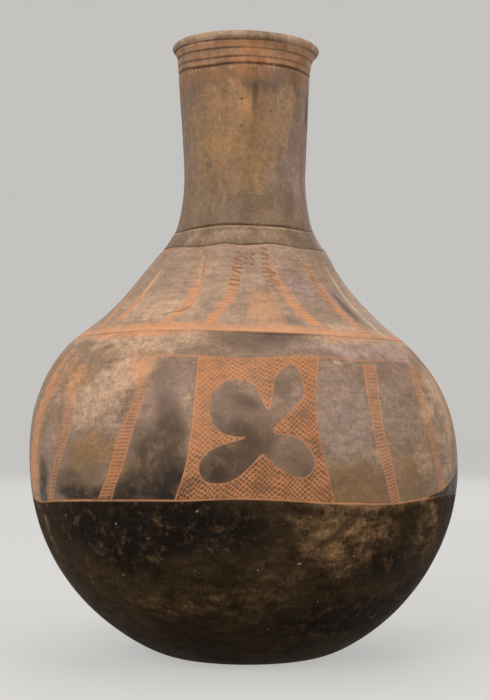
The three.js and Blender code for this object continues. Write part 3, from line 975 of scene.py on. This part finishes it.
def wall_section(name, low, high, low_lap, high_lap, columns, rows, engrave, strips):
    """One luted wall section between two scarf joints."""
    azimuths = azimuth_columns(columns)
    heights = np.linspace(shifted(low, SLIP_GAP), high, rows)
    outer = wall_rows(strayed(heights, azimuths))
    inner_low = shifted(low + low_lap, SLIP_GAP)
    inner = inner_grid(np.linspace(high + high_lap, inner_low, max(INSIDE_ROWS, rows // 16)), azimuths)
    return ring_piece(name, azimuths, outer, heights, inner, (low, high), engrave, strips)


def bezier(a, b, c, steps):
    """Points of a curve from a to c, drawn towards b."""
    t = np.linspace(0, 1, steps)[:, None]
    a, b, c = (np.array(point, float) for point in (a, b, c))
    return (1 - t) ** 2 * a + 2 * t * (1 - t) * b + t**2 * c


def outline_grid(outline, columns):
    """Rows of an outline of radius and height, with outward directions, on a grid."""
    outline = np.array(outline, float)
    run = np.gradient(outline, axis=0)
    length = np.hypot(run[:, 0], run[:, 1])
    rows = np.stack([outline[:, 0], outline[:, 1], run[:, 1] / length, -run[:, 0] / length], axis=-1)
    return np.repeat(rows[:, None, :], columns, axis=1)


def rim_piece(columns):
    """The rim coil: its rings, the rolled lip and the mouth."""
    azimuths = azimuth_columns(columns)
    wall_heights = np.linspace(shifted(NECK_JOINT, SLIP_GAP), NECK_STATIONS[-1][0] - 0.15, RIM_ROWS)
    angles = np.radians(np.linspace(LIP_START_ANGLE, 180, LIP_ROWS))
    lip = np.stack([
        LIP_CENTRE_RADIUS + LIP_HALF_WIDTH * np.cos(angles),
        LIP_CENTRE_HEIGHT + LIP_HALF_HEIGHT * np.sin(angles),
    ], axis=-1)
    outer = np.concatenate([wall_rows(strayed(wall_heights, azimuths)), outline_grid(lip, columns)])
    heights = np.concatenate([wall_heights, lip[:, 1]])
    inner_low = shifted(NECK_JOINT + NARROW_LAP, SLIP_GAP)
    inner = inner_grid(np.linspace(LIP_CENTRE_HEIGHT - LIP_HALF_WIDTH, inner_low, INSIDE_ROWS), azimuths)
    return ring_piece("rim", azimuths, outer, heights, inner, (NECK_JOINT,), engrave_rim, 2)


def base_piece(columns):
    """The base disc: the flat foot, its rounded edge, the scarf and the floor inside."""
    seam = wall_rows([BASE_JOINT])[0, :2]
    foot_edge = bezier((FOOT_RADIUS, 0), (FOOT_CONTROL_RADIUS, 0), seam, FOOT_EDGE_ROWS)
    foot = [(radius, 0) for radius in np.linspace(POLE_RADIUS, FOOT_RADIUS, FOOT_ROWS)[:-1]]
    outline = np.concatenate([foot, foot_edge])
    edge = wall_rows([BASE_JOINT], through(WALL_STATIONS, [BASE_JOINT]))[0, :2]
    flat = [(radius, FLOOR_HEIGHT) for radius in np.linspace(FLOOR_FLAT_RADIUS, POLE_RADIUS, FLOOR_ROWS)]
    curve = bezier(edge, (FLOOR_FLAT_RADIUS + 8, FLOOR_HEIGHT), flat[0], FLOOR_CURVE_ROWS)
    inner = outline_grid(np.concatenate([curve, flat[1:]]), columns)
    azimuths = azimuth_columns(columns)
    outer = outline_grid(outline, columns)
    return ring_piece("foot_disc", azimuths, outer, outline[:, 1], inner, (), lambda wall: None, 1)


# Colours, as linear red, green and blue
KIND_COLOURS = {
    "tan": (0.294, 0.162, 0.073),
    "olive": (0.205, 0.118, 0.056),
    "grey": (0.283, 0.186, 0.138),
    "pale": (0.49, 0.312, 0.198),
    "mauve": (0.345, 0.230, 0.196),
    "orange": (0.54, 0.25, 0.12),
    "smoke": (0.087, 0.053, 0.033),
    "soot": (0.0150, 0.0105, 0.0078),
    "worn": (0.215, 0.135, 0.082),
}
PALE_ORANGE = (0.64, 0.30, 0.150)
RUSTY_ORANGE = (0.51, 0.20, 0.080)
PALE_HAZE = (0.64, 0.292, 0.138)
RUSTY_HAZE = (0.375, 0.142, 0.046)
CUT_SHADE = (0.055, 0.024, 0.013)
FLECK = (0.62, 0.48, 0.33)


class Nodes:
    """Small helper that adds and links the nodes of one material."""

    def __init__(self, name):
        self.material = bpy.data.materials.new(name)
        self.material.use_nodes = True
        self.tree = self.material.node_tree
        self.tree.nodes.clear()

    def add(self, kind, output, inputs, **settings):
        """Adds a node, sets or links its inputs, and gives one of its outputs, or else itself."""
        node = self.tree.nodes.new("ShaderNode" + kind)
        for name, value in settings.items():
            setattr(node, name, value)
        for socket, value in inputs.items():
            if isinstance(value, bpy.types.NodeSocket):
                self.tree.links.new(value, node.inputs[socket])
            else:
                node.inputs[socket].default_value = value
        return node if output is None else node.outputs[output]

    def finish(self, surface):
        self.add("OutputMaterial", None, {"Surface": surface})
        return self.material

    def placed(self, stretch=(1, 1, 1), offset=(0, 0, 0)):
        here = self.add("TexCoord", "Object", {})
        return self.add("Mapping", "Vector", {"Vector": here, "Scale": stretch, "Location": offset})

    def noise(self, scale, detail, roughness, **place):
        here = self.placed(**place)
        inputs = {"Vector": here, "Scale": scale, "Detail": detail, "Roughness": roughness}
        return self.add("TexNoise", "Fac", inputs)

    def specks(self, spacing, size, share):
        """Small dots in a share of the cells of a grid without order."""
        cells = self.add("TexVoronoi", None, {"Vector": self.placed(), "Scale": 1 / (spacing * MM)})
        dot = self.ramp(cells.outputs["Distance"], size / spacing, 0.5 * size / spacing)
        number = self.add("SeparateColor", "Red", {"Color": cells.outputs["Color"]})
        return self.times(dot, self.maths("LESS_THAN", number, share))

    def ramp(self, value, low, high, to_low=0.0, to_high=1.0):
        inputs = {"Value": value, "From Min": low, "From Max": high, "To Min": to_low, "To Max": to_high}
        return self.add("MapRange", "Result", inputs, interpolation_type="SMOOTHSTEP")

    def maths(self, operation, a, b=0.0):
        return self.add("Math", 0, {0: a, 1: b}, operation=operation)

    def times(self, a, b):
        return self.maths("MULTIPLY", a, b)

    def plus(self, a, b):
        return self.maths("ADD", a, b)

    def most(self, a, b):
        return self.maths("MAXIMUM", a, b)

    def mix(self, factor, a, b, blend="MIX"):
        a, b = (side if isinstance(side, bpy.types.NodeSocket) else (*side, 1) for side in (a, b))
        inputs = {"Factor": factor, "A": a, "B": b}
        return self.add("Mix", "Result", inputs, data_type="RGBA", blend_type=blend)

    def attribute(self, name):
        return self.add("Attribute", "Fac", {}, attribute_name=name)


def clay(name, ground, second, streaks_by, roughness, gloss, raggedness, contrast, flecked, wear):
    """Burnished clay: mottled ground, smoke clouds with some painted shade, wear, orange clay in the cuts,
    and chalky dust with a painted highlight.
    """
    nodes = Nodes(name)
    broad = nodes.noise(32, 4, 0.6)
    patchy = nodes.noise(120, 5, 0.62, offset=(3, 1, 2))
    mottle = nodes.noise(340, 4, 0.6, offset=(1, 7, 4))
    grain = nodes.noise(1000, 3, 0.6, offset=(6, 2, 5))
    streaks = nodes.noise(110, 4, 0.6, stretch=streaks_by, offset=(5, 2, 9))

    # A mix of all sizes of unevenness around 0, which breaks up the edge of every cloud
    weights = ((patchy, 0.8), (mottle, 0.45), (grain, 0.25), (streaks, 0.7))
    ragged = -sum(weight for _, weight in weights) / 2
    for unevenness, weight in weights:
        ragged = nodes.plus(nodes.times(unevenness, weight), ragged)

    colour = nodes.mix(nodes.ramp(broad, 0.35, 0.65), ground, second)
    # The clouds over the ground; some of the smoke and soot is painted shade
    for kind in CLOUD_KINDS:
        amount = nodes.attribute(kind)
        edge = nodes.times(ragged, nodes.ramp(amount, 0.0, 0.4, 0, raggedness))
        colour = nodes.mix(nodes.ramp(nodes.plus(amount, edge), 0.08, 0.92), colour, KIND_COLOURS[kind])
    dark = nodes.most(nodes.attribute("smoke"), nodes.attribute("soot"))
    rubbed = nodes.ramp(nodes.noise(210, 5, 0.68, offset=(4, 4, 8)), 0.5, 0.7, 0, wear)
    colour = nodes.mix(nodes.times(dark, rubbed), colour, KIND_COLOURS["tan"])

    # Light and dark mottling, then dark pinholes and pale flecks
    for unevenness, amount in ((mottle, 0.2), (grain, 0.24), (streaks, 0.22), (patchy, 0.14)):
        swing = amount * contrast
        shading = nodes.ramp(unevenness, 0.28, 0.72, 1 - swing, 1 + swing)
        colour = nodes.mix(1.0, colour, shading, "MULTIPLY")
    pinholes = nodes.ramp(nodes.noise(620, 2, 0.5, offset=(9, 9, 3)), 0.66, 0.74, 0, 0.45)
    colour = nodes.mix(pinholes, colour, CUT_SHADE)
    colour = nodes.mix(nodes.times(nodes.specks(5.0, 0.45, flecked), 0.6), colour, FLECK)

    # The orange haze, the clay that the tool laid bare, and the dark in the deepest cuts
    rust = nodes.attribute("rust")
    haze = nodes.times(nodes.attribute("haze"), nodes.ramp(ragged, -0.25, 0.3, 0.25, 0.9))
    colour = nodes.mix(haze, colour, nodes.mix(rust, PALE_HAZE, RUSTY_HAZE))
    bare_clay = nodes.mix(nodes.times(rust, 0.6), PALE_ORANGE, RUSTY_ORANGE)
    bare_clay = nodes.mix(nodes.ramp(broad, 0.4, 0.62, 0, 0.3), bare_clay, RUSTY_ORANGE)
    bare = nodes.times(nodes.attribute("bare"), nodes.ramp(ragged, -0.35, 0.1, 0.6, 1.0))
    colour = nodes.mix(nodes.most(bare, hatching(nodes, ragged)), colour, bare_clay)
    colour = nodes.mix(nodes.attribute("shade"), colour, CUT_SHADE)
    # Chalky dust, and the painted highlight along one shoulder band, in the fleck colour
    chalk = nodes.times(nodes.attribute("chalk"), nodes.ramp(ragged, -0.2, 0.2, 0.5, 1.0))
    colour = nodes.mix(chalk, colour, FLECK)

    relief = nodes.plus(nodes.plus(mottle, grain), streaks)
    normal = nodes.add("Bump", "Normal", {"Strength": 0.35, "Distance": 0.3 * MM, "Height": relief})
    dull = nodes.times(nodes.attribute("bare"), 0.25)
    rough = nodes.ramp(patchy, 0.3, 0.7, roughness - 0.07, roughness + 0.12)
    return nodes.finish(nodes.add("BsdfPrincipled", "BSDF", {
        "Base Color": colour, "Roughness": nodes.plus(rough, dull), "Specular IOR Level": gloss,
        "Normal": normal,
    }))


def hatching(nodes, ragged):
    """The crossed lines of a panel, one between each two whole counts of either direction."""
    lines = 0.0
    for name, _, _ in HATCHES:
        distance = nodes.maths("ABSOLUTE", nodes.plus(nodes.maths("FRACT", nodes.attribute(name)), -0.5))
        lines = nodes.most(nodes.ramp(distance, 0.24, 0.06), lines)
    pressed = nodes.ramp(ragged, -0.25, 0.15, 0.35, 0.95)
    return nodes.times(nodes.times(lines, pressed), nodes.attribute("net"))


CLAYS = {
    "lower_clay": clay(
        "lower_clay", (0.029, 0.0180, 0.0094), (0.050, 0.0305, 0.0158), streaks_by=(1, 1, 2.6),
        roughness=0.58, gloss=0.02, raggedness=0.8, contrast=1.3, flecked=0.18, wear=0.3),
    "engraved_clay": clay(
        "engraved_clay", (0.29, 0.185, 0.120), (0.25, 0.158, 0.102), streaks_by=(1, 1, 3.2),
        roughness=0.46, gloss=0.18, raggedness=0.8, contrast=0.68, flecked=0.06, wear=0.45),
    "shoulder_clay": clay(
        "shoulder_clay", (0.385, 0.250, 0.172), (0.318, 0.206, 0.136), streaks_by=(1, 1, 6),
        roughness=0.48, gloss=0.18, raggedness=0.9, contrast=0.6, flecked=0.04, wear=0.3),
    "neck_clay": clay(
        "neck_clay", (0.215, 0.137, 0.082), (0.188, 0.120, 0.072), streaks_by=(1, 1, 0.22),
        roughness=0.46, gloss=0.18, raggedness=0.55, contrast=0.68, flecked=0.12, wear=0.3),
}

# The walls between joints: name, node, slot, joints and laps below and above, columns, rows,
# engraving, and strips that it is unrolled in
WALLS = [
    ("bowl_wall", "lower_bowl", "lower_clay", BASE_JOINT, BOWL_JOINT, 0, BROAD_LAP,
     840, 110, engrave_bowl, 2),
    ("engraved_wall", "belly_wall", "engraved_clay", BOWL_JOINT, BELLY_JOINT, BROAD_LAP, NARROW_LAP,
     2200, 200, engrave_belly, 3),
    ("band_wall", "shoulder_band", "engraved_clay", BELLY_JOINT, BAND_JOINT, NARROW_LAP, NARROW_LAP,
     1100, 40, engrave_band, 6),
    ("shoulder_wall", "shoulder_cone", "shoulder_clay", BAND_JOINT, CONE_JOINT, NARROW_LAP, NARROW_LAP,
     1200, 160, engrave_cone, 3),
    ("collar_wall", "neck_collar", "neck_clay", CONE_JOINT, COLLAR_JOINT, NARROW_LAP, NARROW_LAP,
     560, 36, engrave_collar, 4),
    ("neck_wall", "neck_tube", "neck_clay", COLLAR_JOINT, NECK_JOINT, NARROW_LAP, NARROW_LAP,
     520, 185, engrave_neck, 2),
]
PIECES = [(base_piece(360), "base_disc", "lower_clay")]
PIECES += [(wall_section(name, *wall), node, slot) for name, node, slot, *wall in WALLS]
PIECES.append((rim_piece(640), "rim_coil", "neck_clay"))
for piece, node, slot in PIECES:
    piece.data.materials.append(CLAYS[slot])
    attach(piece, "root")
    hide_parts(node)


def backdrop_colour(nodes, pale, dim):
    """Pale where it is seen or mirrored, dim where it would throw light back on the object."""
    rays = nodes.add("LightPath", None, {}).outputs
    seen = nodes.most(nodes.most(rays["Is Camera Ray"], rays["Is Glossy Ray"]), rays["Is Transmission Ray"])
    return nodes.mix(seen, dim, pale)


# The floor in metres: its flat part, the curve up into the wall, and the wall's top
FLOOR_RADIUS = 1.7
FLOOR_FILLET = 0.5
WALL_TOP = 2.2
FLOOR_SIDES = 96
FLOOR_PALE = (0.27, 0.267, 0.26)
FLOOR_DIM = (0.3, 0.29, 0.27)
FLOOR_GLOW = (0.43, 0.425, 0.415)


def stage_floor():
    """A pale floor that curves up into a wall all round."""
    outline = [(0.5, 0), (1.1, 0), (FLOOR_RADIUS, 0)]
    for angle in np.radians(np.arange(10, 91, 10)):
        radius = FLOOR_RADIUS + FLOOR_FILLET * math.sin(angle)
        outline.append((radius, FLOOR_FILLET * (1 - math.cos(angle))))
    outline.append((FLOOR_RADIUS + FLOOR_FILLET, WALL_TOP))
    turns = 2 * math.pi * np.arange(FLOOR_SIDES) / FLOOR_SIDES
    points = [
        (radius * math.cos(turn), radius * math.sin(turn), height)
        for radius, height in outline for turn in turns
    ]
    faces = [tuple(range(FLOOR_SIDES))]
    for low in range(0, len(points) - FLOOR_SIDES, FLOOR_SIDES):
        high = low + FLOOR_SIDES
        for side in range(FLOOR_SIDES):
            following = (side + 1) % FLOOR_SIDES
            faces.append((low + side, high + side, high + following, low + following))
    mesh = bpy.data.meshes.new("floor")
    mesh.from_pydata(points, [], faces)
    mesh.polygons.foreach_set("use_smooth", [True] * len(faces))
    nodes = Nodes("floor_paint")
    paint = backdrop_colour(nodes, FLOOR_PALE, FLOOR_DIM)
    glow = backdrop_colour(nodes, FLOOR_GLOW, (0, 0, 0))
    mesh.materials.append(nodes.finish(nodes.add("AddShader", 0, {
        0: nodes.add("BsdfDiffuse", "BSDF", {"Color": paint}),
        1: nodes.add("Emission", "Emission", {"Color": glow}),
    })))
    show(mesh)


# The lamps: name, place in metres, side in metres and power in watts
LAMPS = [
    ("key", (-0.55, -1.15, 0.75), 0.9, 12.5),
    ("fill", (1.15, -0.7, 0.5), 0.9, 8.5),
    ("side", (-1.2, -0.1, 0.5), 0.9, 3.5),
    ("top", (0.1, -0.1, 1.5), 1.0, 4),
    ("back", (0.1, 1.35, 0.9), 0.9, 7),
]
LAMP_TARGET = Vector((0, 0, 0.15))
SKY_COLOUR = (1.0, 0.98, 0.95, 1)
SKY_STRENGTH = 0.5


def studio():
    """Soft lamps above the floor, and a little light from the open top."""
    stage_floor()
    for name, place, size, power in LAMPS:
        lamp = bpy.data.lights.new(name, "AREA")
        lamp.size = size
        lamp.energy = power
        item = show(lamp)
        item.location = place
        item.rotation_euler = (LAMP_TARGET - Vector(place)).to_track_quat("-Z", "Y").to_euler()
    world = bpy.data.worlds.new("world")
    world.use_nodes = True
    background = world.node_tree.nodes["Background"]
    background.inputs["Color"].default_value = SKY_COLOUR
    background.inputs["Strength"].default_value = SKY_STRENGTH
    bpy.context.scene.world = world


# The photograph's viewpoint in millimetres, and its lens, sensor and shift
CAMERA_DISTANCE = 692.3
CAMERA_HEIGHT = 116.3
CAMERA_SIDE = 0.6
LENS = 77.14
SENSOR = 36
SHIFT_UP = 50 / 700


def camera():
    """A level camera, with its picture moved up a little."""
    data = bpy.data.cameras.new("camera")
    data.sensor_fit = "AUTO"
    data.sensor_width = SENSOR
    data.lens = LENS
    data.shift_y = SHIFT_UP
    item = show(data)
    item.location = (CAMERA_SIDE * MM, -CAMERA_DISTANCE * MM, CAMERA_HEIGHT * MM)
    item.rotation_euler = (math.pi / 2, 0, 0)
    bpy.context.scene.camera = item


camera()
studio()
bpy.context.scene.view_settings.view_transform = "Standard"
